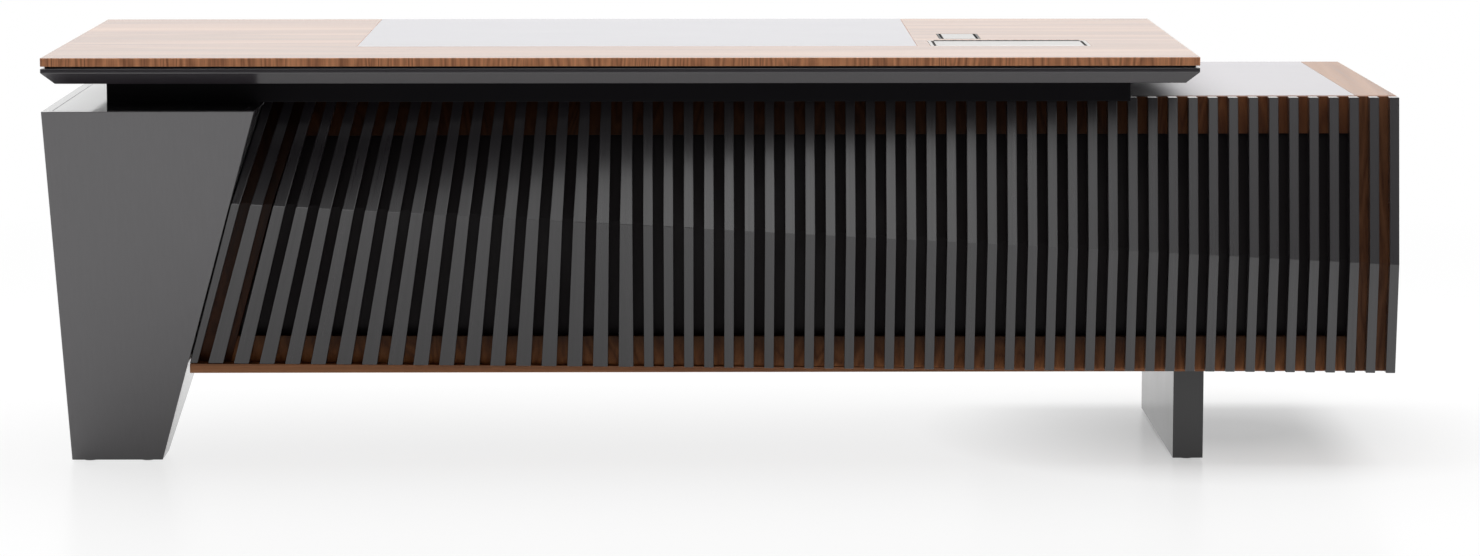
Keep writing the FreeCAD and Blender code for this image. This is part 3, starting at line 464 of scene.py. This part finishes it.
# painted light in the leg's lacquer; painted shade in the blade's and the slats' lacquers below
lit_leg_lacquer = lacquer("lit_leg_lacquer", LIT_LEG_GREY, haze=LEG_HAZE)
finishes = {
    "worktop_slab": walnut("worktop_walnut", "x", "z", TOP_FIGURE, coat=0.85,
                           edge_stain=(2.2, 1.7, 1.35), edge_figure=TOP_EDGE_FIGURE),
    "base_board": walnut("base_walnut", "x", stain_and_painted_light=(1.45, 1.08, 0.74)),
    "cabinet_deck": walnut("deck_walnut", "y", "z", coat=0.3, stain_and_painted_light=(0.70, 0.66, 0.63)),
    # lit and shaded copies of one walnut: base rail lightened as a painted glow, top rail and left
    # stile darkened as painted shade
    "screen_base_rail": upright_walnut("base_rail_walnut", (1.15, 0.79, 0.48), base_rail_painted_shade),
    "screen_top_rail": upright_walnut("top_rail_walnut", (0.44, 0.275, 0.17), top_rail_painted_shadow),
    "screen_left_stile": upright_walnut("stile_walnut", (0.2, 0.11, 0.055), stile_painted_shade),
    "blade_leg": lacquer("shaded_blade_lacquer", SHADED_BLADE_GREY, coat=0.55, haze=BLADE_HAZE),
    "straight_slats": lacquer("shaded_slat_lacquer", SHADED_SLAT_GREY, **SLAT_LINES),
    "fan_slats": lacquer("shaded_fan_lacquer", SHADED_SLAT_GREY, fanned=True, **SLAT_LINES),
}
for side in ("top", "foot", "front", "back", "outer", "inner"):
    finishes["leg_%s_board" % side] = lit_leg_lacquer
slot_finishes = {
    "walnut": upright_walnut("upright_walnut", (0.58, 0.42, 0.31)),
    "pad_leather": leather("pad_leather", PAD_GREY),
    "inlay_leather": leather("inlay_leather", INLAY_GREY),
    "reveal_black": textured("reveal_black", STAIN_BLACK, 400.0, gloss=DULL_GLOSS),
    "grey_lacquer": lacquer("charcoal_lacquer", LACQUER_GREY),
    "carcass": textured("carcass_melamine", CARCASS_GREY, 500.0, relief=0.1),
    "panel_dark": textured("panel_charcoal", PANEL_CHARCOAL, 300.0, gloss=DULL_GLOSS),
    "black_steel": textured("black_powder_coat", STEEL_BLACK, 1100.0, 0.25, gloss=BLACK_GLOSS),
    "black_board": textured("black_board", STEEL_BLACK, 700.0, gloss=BLACK_GLOSS),
    "aluminium": brushed_metal("brushed_aluminium", ALUMINIUM, "x"),
    "black_plastic": textured("black_plastic", PLASTIC_BLACK, 1500.0),
    "steel": brushed_metal("zinc_steel", ZINC, "y"),
    "glide": textured("glide_nylon", NYLON_GREY, 800.0),
    "drawer_box": textured("drawer_melamine", MELAMINE_GREY, 450.0, relief=0.1),
}
for row in frame["record"]["subparts"]:
    piece = pieces[row["node"]]
    material = finishes.get(row["node"], slot_finishes[row["material_slot"]])
    for slot in piece.material_slots:
        slot.material = material

# softened edges, so that they catch the light
BOARD_EDGE = 0.0010
SLAT_EDGE = 0.0012
FINE_EDGE = 0.0005
EDGE_STEPS = 2
WELD_REACH = 0.00001
FLAT_ANGLE = math.radians(0.4)
EDGE_ANGLE = math.radians(35)
FOLD_ANGLE = math.radians(6)


def soften(name, width):
    """Join a piece's corners and flats, round its edges, and keep its folds crisp."""
    piece = pieces[name]
    weld = piece.modifiers.new("join_corners", "WELD")
    weld.merge_threshold = WELD_REACH
    flat = piece.modifiers.new("join_flats", "DECIMATE")
    flat.decimate_type = "DISSOLVE"
    flat.angle_limit = FLAT_ANGLE
    bevel = piece.modifiers.new("soft_edge", "BEVEL")
    bevel.width = width
    bevel.segments = EDGE_STEPS
    bevel.limit_method = "ANGLE"
    bevel.angle_limit = EDGE_ANGLE
    crisp = piece.modifiers.new("crisp_folds", "EDGE_SPLIT")
    crisp.split_angle = FOLD_ANGLE
    crisp.use_edge_sharp = False


for name in ("worktop_slab", "bevelled_subtop", "leg_top_board", "leg_front_board",
             "leg_back_board", "leg_outer_board", "leg_inner_board", "leg_foot_board",
             "blade_leg", "base_board", "cabinet_deck", "cabinet_left_side",
             "cabinet_right_side", "cabinet_floor", "cupboard_door", "top_drawer_front",
             "middle_drawer_front", "low_drawer_front", "wall_back_board", "wall_cap_board",
             "screen_top_rail", "screen_base_rail", "screen_left_stile", "screen_right_stile",
             "riser_front_tube", "riser_rear_tube"):
    soften(name, BOARD_EDGE)
for name in ("straight_slats", "fan_slats"):
    soften(name, SLAT_EDGE)
for name in ("cable_flap", "charging_lid", "cable_rim", "charging_well", "writing_pad",
             "deck_inlay"):
    soften(name, FINE_EDGE)

# sockets of the cable box: a profile is the diameter and the height of each ring
SOCKET_PITCH = 0.052
SOCKET_FLOOR = -0.0118
SOCKET_PROFILE = [(0.0376, -0.0130), (0.0376, 0.0), (0.0410, 0.0), (0.0410, 0.0020),
                  (0.0398, 0.0028), (0.0372, 0.0028), (0.0362, SOCKET_FLOOR)]
SLEEVE_PROFILE = [(0.0075, 0.0), (0.0075, 0.0022), (0.0052, 0.0022), (0.0050, 0.0003)]
SLEEVE_OFFSET = 0.0095
DISC_FLAT = 0.0001

# ports of the charging well
PORT_PITCH = 0.022
PORT_LENGTH, PORT_WIDTH, PORT_CORNER = 0.0134, 0.0054, 0.0012
PORT_WALL = 0.0006
PORT_FOOT, PORT_FLOOR, TONGUE_TOP, PORT_LIP = -0.0085, -0.0075, -0.0012, 0.0005

# brush along the flap's free edge
TUFTS = 150
TUFT_FOOT_SHARE, TUFT_FOOT_WIDTH, TUFT_FOOT_CORNER = 0.96, 0.0016, 0.0004
TUFT_TIP_SHARE, TUFT_TIP_WIDTH, TUFT_TIP_CORNER = 0.78, 0.0011, 0.0003
TUFT_UNEVEN = 0.0002
BAR_WIDTH, BAR_HEIGHT, BAR_CORNER = 0.0022, 0.006, 0.0003
BAR_SHIFT = 0.0003
BAR_DROP = 0.004
BRUSH_SETBACK = 0.0016
BRUSH_DROP = 0.004
BRUSH_RISE = 0.0016
CORNER_STEPS = 6
BRUSH_CORNER_STEPS = 2


def rounded(length, width, radius, steps=CORNER_STEPS):
    """Points round a rectangle with rounded corners, about its middle."""
    corners = [(1, 1, 0), (-1, 1, 90), (-1, -1, 180), (1, -1, 270)]
    points = []
    for x, y, start in corners:
        for step in range(steps + 1):
            angle = math.radians(start + 90.0 * step / steps)
            points.append((x * (length / 2 - radius) + radius * math.cos(angle),
                           y * (width / 2 - radius) + radius * math.sin(angle)))
    return points


def disc(size):
    return rounded(size, size, size / 2 - DISC_FLAT)


def rings(shape, middle, outlines):
    """Join outlines of equal count, each at its own height, and close the first and the last."""
    loops = []
    for points, height in outlines:
        loops.append([shape.verts.new((middle[0] + x, middle[1] + y, middle[2] + height))
                      for x, y in points])
    for low, high in zip(loops, loops[1:]):
        for here in range(len(low)):
            after = (here + 1) % len(low)
            shape.faces.new((low[here], low[after], high[after], high[here]))
    shape.faces.new(reversed(loops[0]))
    shape.faces.new(loops[-1])


def insert(name, shape, slot):
    """Make a shape a piece of the desk, in the finish of its slot."""
    mesh = bpy.data.meshes.new(name)
    shape.normal_update()
    shape.to_mesh(mesh)
    shape.free()
    piece = bpy.data.objects.new(name, mesh)
    bpy.context.scene.collection.objects.link(piece)
    mesh.materials.append(slot_finishes[slot])
    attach(piece, "desk")


def socket_cup(shape, middle):
    """A round socket let into its hole: a raised rim, a sunken floor and two pin sleeves on it."""
    rings(shape, middle, [(disc(size), height) for size, height in SOCKET_PROFILE])
    for side in (-1, 1):
        sleeve = (middle[0] + side * SLEEVE_OFFSET, middle[1], middle[2] + SOCKET_FLOOR)
        rings(shape, sleeve, [(disc(size), height) for size, height in SLEEVE_PROFILE])


def port(shape, middle):
    """A port let into its slot: a thin metal mouth with a tongue standing in it."""
    outer = rounded(PORT_LENGTH, PORT_WIDTH, PORT_CORNER)
    inner = rounded(PORT_LENGTH - 2 * PORT_WALL, PORT_WIDTH - 2 * PORT_WALL,
                    PORT_CORNER - PORT_WALL * 0.5)
    tongue = rounded(PORT_LENGTH * 0.72, PORT_WIDTH * 0.24, PORT_WIDTH * 0.1)
    rings(shape, middle, [(outer, PORT_FOOT), (outer, PORT_LIP), (inner, PORT_LIP),
                          (inner, PORT_FLOOR)])
    rings(shape, middle, [(tongue, PORT_FLOOR), (tongue, TONGUE_TOP)])


def brush(shape, west, east, middle, low, high):
    """A bar on the rim with a row of bristle tufts, each of its own height, behind the flap."""
    pitch = (east - west) / TUFTS
    bar = rounded(east - west, BAR_WIDTH, BAR_CORNER, BRUSH_CORNER_STEPS)
    rings(shape, ((west + east) / 2, middle + BAR_SHIFT, low - BAR_DROP),
          [(bar, 0.0), (bar, BAR_HEIGHT)])
    foot = rounded(pitch * TUFT_FOOT_SHARE, TUFT_FOOT_WIDTH, TUFT_FOOT_CORNER, BRUSH_CORNER_STEPS)
    tip = rounded(pitch * TUFT_TIP_SHARE, TUFT_TIP_WIDTH, TUFT_TIP_CORNER, BRUSH_CORNER_STEPS)
    for number in range(TUFTS):
        uneven = TUFT_UNEVEN * (math.sin(2.3 * number) + math.sin(0.7 * number))
        rings(shape, (west + (number + 0.5) * pitch, middle, low),
              [(foot, 0.0), (tip, high - low + uneven)])


low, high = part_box("socket_strip")
cups = bmesh.new()
for step in (-1, 0, 1):
    socket_cup(cups, ((low[0] + high[0]) / 2 + step * SOCKET_PITCH, (low[1] + high[1]) / 2,
                      high[2]))
insert("socket_cups", cups, "black_plastic")
low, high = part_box("charging_module")
mouths = bmesh.new()
for step in (-0.5, 0.5):
    port(mouths, ((low[0] + high[0]) / 2, (low[1] + high[1]) / 2 + step * PORT_PITCH, high[2]))
insert("charging_ports", mouths, "aluminium")
flap_low, flap_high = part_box("cable_flap")
bristles = bmesh.new()
brush(bristles, flap_low[0], flap_high[0], flap_high[1] + BRUSH_SETBACK,
      flap_low[2] - BRUSH_DROP, flap_high[2] + BRUSH_RISE)
insert("cable_brush", bristles, "black_plastic")

# studio floor: its shades, how white the camera sees it, and how bright it is in reflections
FLOOR_HALF = 40.0
FLOOR_SHADES = ((0.66, 0.66, 0.66, 1), (0.70, 0.70, 0.70, 1))
FLOOR_TO_CAMERA = (0.95, 0.95, 0.95, 1)
FLOOR_WHITE_NEAR, FLOOR_WHITE_SPAN = 0.76, (1.2, 4.0)
FLOOR_MIRRORED, FLOOR_MIRRORED_SPAN = 0.42, (1.8, 4.0)
UNDER_RETURN = (0.96, 0.12, 0.0)
RETURN_SHADOW, RETURN_SHADOW_SPAN = 0.5, (0.1, 0.6)

# studio walls: their light, and the heights and the depth between which it changes
HORIZON_LIGHT = 0.04
FRONT_BAND = 1.45
CEILING_LIGHT = 0.08
ROOM_LIGHT = 0.12
BAND_RISES, BAND_FALLS = (0.14, 0.33), (0.46, 0.70)
WHITE_BEHIND = (-0.15, 0.25)


def rectangle(name, west, east, front, rear, height):
    """A level rectangle as a new object in the scene."""
    mesh = bpy.data.meshes.new(name)
    mesh.from_pydata([(west, front, height), (east, front, height), (east, rear, height),
                      (west, rear, height)], [], [(0, 1, 2, 3)])
    plane = bpy.data.objects.new(name, mesh)
    bpy.context.scene.collection.objects.link(plane)
    return plane


def floor():
    """A wide pale floor that keeps the desk's shadow and turns plain white away from it."""
    plane = rectangle("studio_floor", -FLOOR_HALF, FLOOR_HALF, -FLOOR_HALF, FLOOR_HALF, 0)
    material, tree, shader, place = blank("pale_floor")
    light = put(tree, "ShaderNodeLightPath").outputs
    pale = blend(tree, noise(tree, place, 40.0, detail=3.0), *FLOOR_SHADES)
    colour = blend(tree, light["Is Camera Ray"], pale, FLOOR_TO_CAMERA)
    tree.links.new(colour, shader.inputs["Base Color"])
    fix(shader, {"Roughness": 0.25, "Specular IOR Level": 0.3})
    seen = sums(tree, "MAXIMUM", light["Is Camera Ray"], light["Is Transmission Ray"])
    distance = put(tree, "ShaderNodeVectorMath", {"operation": "LENGTH"},
                   {0: place}).outputs["Value"]
    from_return = put(tree, "ShaderNodeVectorMath", {"operation": "DISTANCE"},
                      {0: place, 1: UNDER_RETURN}).outputs["Value"]
    whiteness = sums(tree, "SUBTRACT",
                     spread(tree, distance, FLOOR_WHITE_SPAN, (FLOOR_WHITE_NEAR, 1.0)),
                     spread(tree, from_return, RETURN_SHADOW_SPAN, (RETURN_SHADOW, 0.0)))
    viewed = sums(tree, "MULTIPLY", seen, whiteness)
    mirrored = sums(tree, "MULTIPLY", light["Is Glossy Ray"],
                    spread(tree, distance, FLOOR_MIRRORED_SPAN, (FLOOR_MIRRORED, 0.0)))
    share = sums(tree, "MAXIMUM", viewed, mirrored)
    white = put(tree, "ShaderNodeEmission", None, {"Color": WHITE, "Strength": 1.0}).outputs[0]
    both = put(tree, "ShaderNodeMixShader", None,
               {0: share, 1: shader.outputs[0], 2: white}).outputs[0]
    tree.links.new(both, tree.nodes["Material Output"].inputs["Surface"])
    plane.data.materials.append(material)


def surroundings():
    """White behind the desk, and ahead of it a bright band between a dim horizon and ceiling."""
    world = bpy.data.worlds.new("studio")
    world.use_nodes = True
    bpy.context.scene.world = world
    tree = world.node_tree
    tree.nodes.clear()
    facing = split(tree, put(tree, "ShaderNodeTexCoord").outputs["Generated"])
    rising = spread(tree, facing["Z"], BAND_RISES, (HORIZON_LIGHT, FRONT_BAND))
    falling = spread(tree, facing["Z"], BAND_FALLS, (FRONT_BAND, CEILING_LIGHT))
    ahead = sums(tree, "MINIMUM", rising, falling)
    behind = spread(tree, facing["Y"], WHITE_BEHIND)
    around = sums(tree, "MAXIMUM", ahead, behind)
    light = put(tree, "ShaderNodeLightPath").outputs
    mirrored = sums(tree, "MULTIPLY", around, light["Is Glossy Ray"])
    seen = sums(tree, "MAXIMUM", light["Is Camera Ray"], light["Is Transmission Ray"])
    strength = sums(tree, "MAXIMUM", sums(tree, "MAXIMUM", mirrored, seen),
                    sums(tree, "MULTIPLY", around, ROOM_LIGHT))
    back = put(tree, "ShaderNodeBackground", None, {"Color": WHITE, "Strength": strength})
    out = put(tree, "ShaderNodeOutputWorld")
    tree.links.new(back.outputs[0], out.inputs["Surface"])


def light_flag(west, east, front, rear, height):
    """A black cloth ahead of the worktop that keeps the front light off the screen's upper end."""
    cloth = rectangle("light_flag", west, east, front, rear, height)
    cloth.visible_camera = False
    cloth.visible_shadow = False
    cloth.visible_diffuse = False
    cloth.data.materials.append(slot_finishes["black_board"])


def softbox(name, place, aim, length, width, power):
    lamp = bpy.data.lights.new(name, "AREA")
    lamp.shape = "RECTANGLE"
    lamp.size = length
    lamp.size_y = width
    lamp.energy = power
    holder = bpy.data.objects.new(name, lamp)
    holder.location = place
    holder.rotation_euler = (Vector(aim) - Vector(place)).to_track_quat("-Z", "Y").to_euler()
    holder.visible_camera = False
    bpy.context.scene.collection.objects.link(holder)


def camera(place, tilt, turn, focal, shift):
    """The photo's camera: tilt is down from level and turn is about the upright, in degrees."""
    lens = bpy.data.cameras.new("viewer")
    lens.sensor_width = 36.0
    lens.lens = focal
    lens.shift_y = shift
    lens.clip_end = 200.0
    viewer = bpy.data.objects.new("viewer", lens)
    viewer.location = place
    viewer.rotation_euler = (math.radians(90.0 - tilt), 0.0, math.radians(turn))
    bpy.context.scene.collection.objects.link(viewer)
    bpy.context.scene.camera = viewer


floor()
surroundings()
light_flag(west=-1.2, east=0.83, front=-0.65, rear=-0.462, height=0.735)
softbox("overhead_box", place=(0.0, 0.5, 3.8), aim=(0.0, 0.5, 0.0),
        length=7.0, width=4.0, power=290.0)
camera(place=(-0.0624, -8.103, 1.4042), tilt=7.114, turn=-0.619, focal=106.69, shift=-0.03)

bpy.context.scene.view_settings.view_transform = "Standard"
